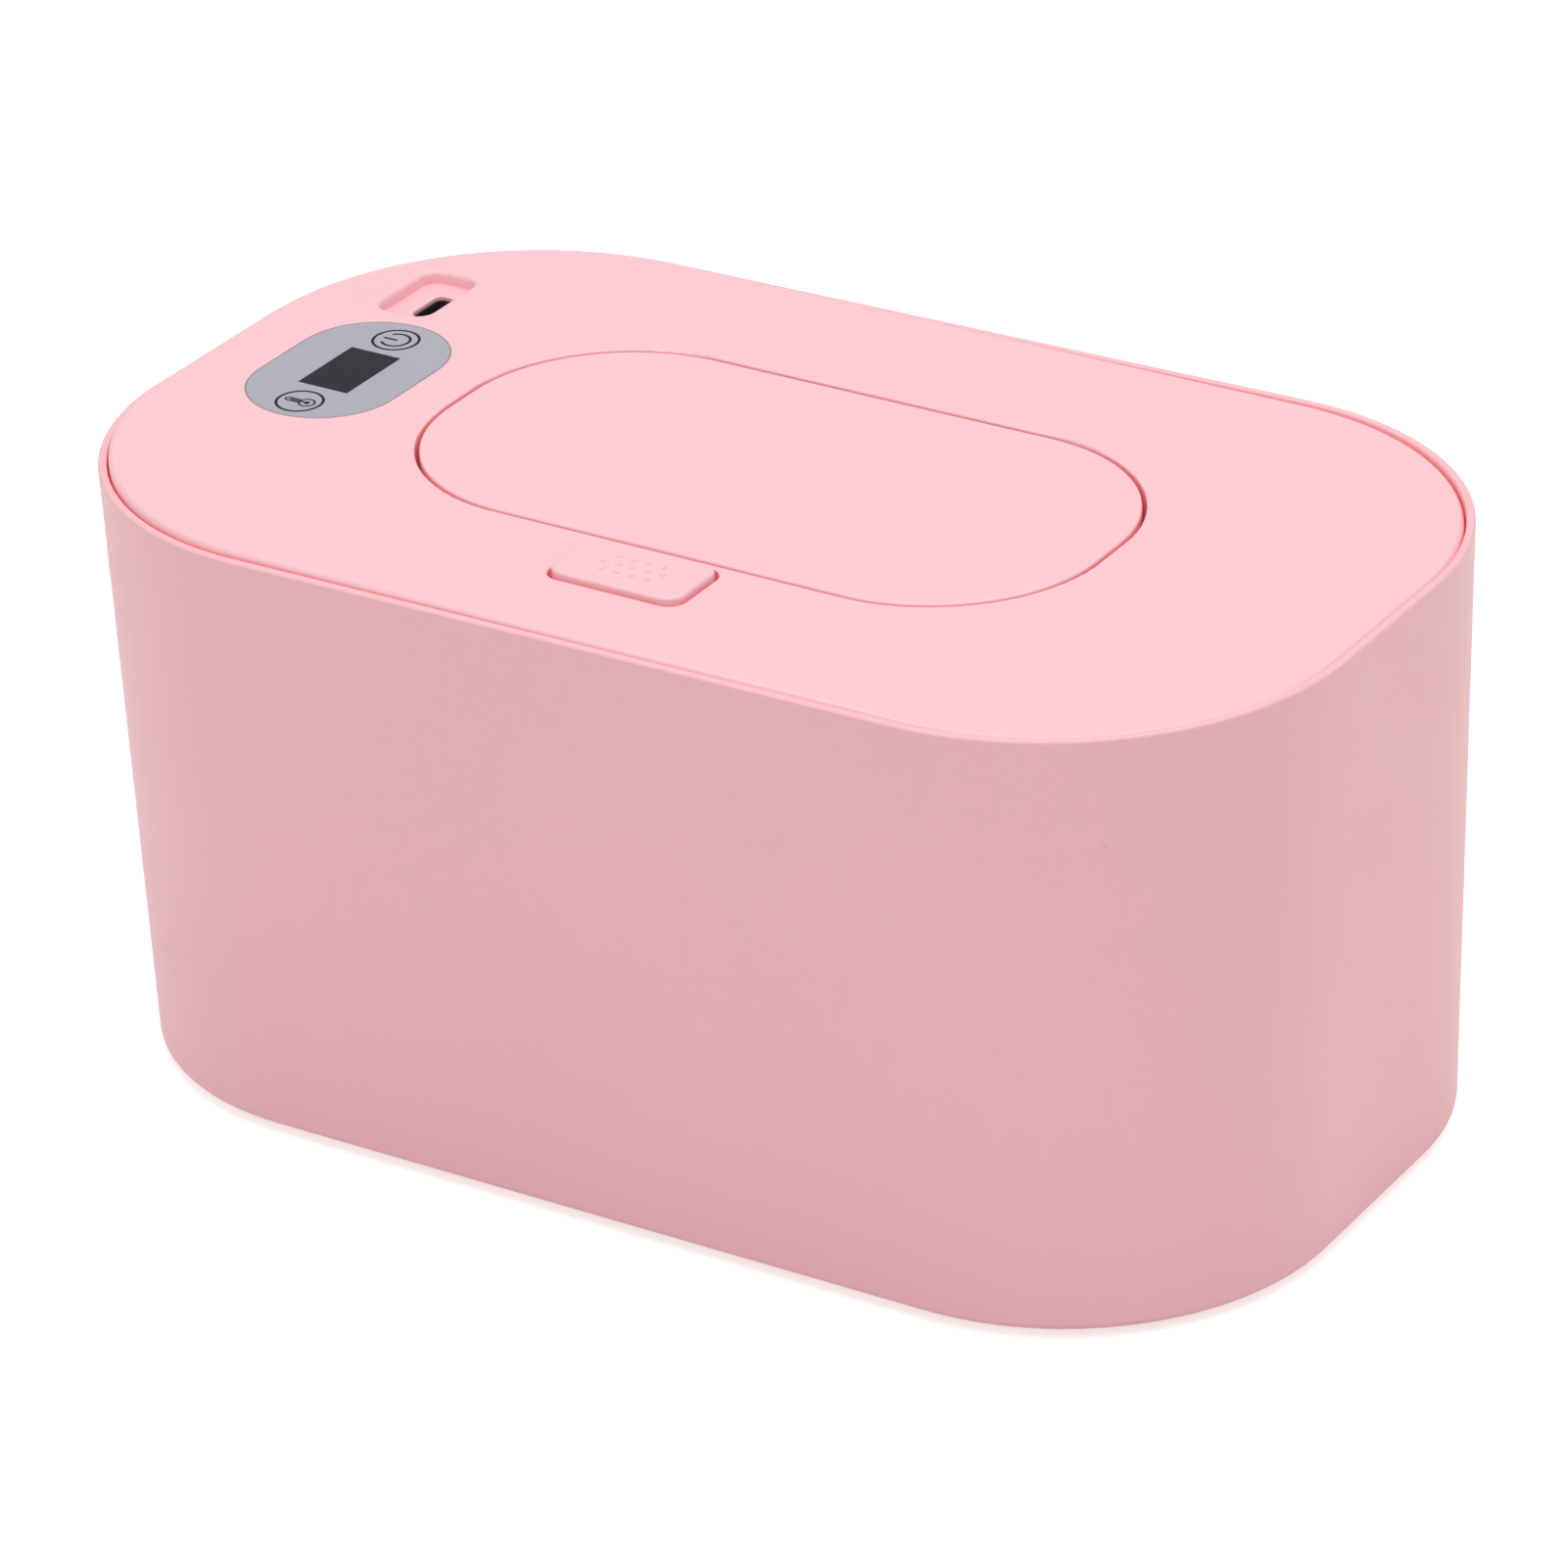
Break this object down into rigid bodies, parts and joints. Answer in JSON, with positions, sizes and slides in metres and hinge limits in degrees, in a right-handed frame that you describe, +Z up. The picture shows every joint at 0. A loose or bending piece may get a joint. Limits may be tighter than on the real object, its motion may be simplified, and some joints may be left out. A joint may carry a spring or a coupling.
{
  "type": "baby wipe warmer",
  "caption": "Rounded box with a heated lift-off cover that holds a flip lid, a release button, a touch panel with a display and an upright power socket.",
  "frame": {"origin": "on the table, under the middle of the tub", "axes": "+X along the length, away from the control panel; +Y towards the lid's hinge; +Z up"},
  "size_m": [0.21, 0.1242, 0.1015],
  "materials": {
    "pink_shell": "satin moulded ABS",
    "foot_rubber": "soft matt",
    "silicone": "translucent matt",
    "steel": "zinc plated",
    "foam": "closed-cell foam",
    "amber_film": "polyimide film",
    "plate_aluminium": "plain satin",
    "ceramic_white": "glazed",
    "epoxy_black": "moulded epoxy",
    "lead_red": "silicone sleeve",
    "lead_white": "silicone sleeve",
    "panel_grey": "printed film",
    "smoked_lens": "smoked acrylic",
    "module_white": "moulded",
    "board_green": "solder mask",
    "spring_steel": "bright wire",
    "capacitor_can": "drawn can"
  },
  "bodies": {
    "tub": {"tub": "pink_shell", "rubber_feet": "foot_rubber"},
    "cover": {"cover_shell": "pink_shell", "cover_seal": "silicone", "heater_housing": "pink_shell", "housing_screws": "steel", "wipe_outlet": "silicone", "insulation_pad": "foam", "heating_film": "amber_film", "heating_plate": "plate_aluminium", "plate_screws": "steel", "thermal_fuse": "ceramic_white", "temperature_sensor": "epoxy_black", "heater_leads": "lead_red", "sensor_leads": "lead_white", "control_overlay": "panel_grey", "display_window": "smoked_lens", "display_module": "module_white", "control_board": "board_green", "board_screws": "steel", "touch_springs": "spring_steel", "controller_chip": "epoxy_black", "power_transistor": "epoxy_black", "capacitor": "capacitor_can", "buzzer": "epoxy_black", "board_headers": "module_white", "header_plugs": "module_white", "power_socket": "epoxy_black", "socket_tongue": "epoxy_black", "hinge_pins": "steel", "lid_springs": "spring_steel", "button_springs": "spring_steel"},
    "flip_lid": {"flip_lid": "pink_shell", "lid_liner": "pink_shell", "lid_seal": "silicone"},
    "push_button": {"push_button": "pink_shell"}
  },
  "joints": [
    {"name": "cover_lift", "type": "slide", "parent": "tub", "child": "cover", "axis": [0, 0, 1], "range_m": [0, 0.06]},
    {"name": "lid_hinge", "type": "hinge", "parent": "cover", "child": "flip_lid", "pos_m": [-0.00003, 0.03755, 0.09723], "axis": [-1, 0, 0.009], "range_deg": [0, 100]},
    {"name": "button_press", "type": "slide", "parent": "cover", "child": "push_button", "axis": [-0.009, 0, -1], "range_m": [0, 0.0015], "stiffness_N_per_m": 400, "springref_m": -0.003, "deforming": ["button_springs"]}
  ]
}
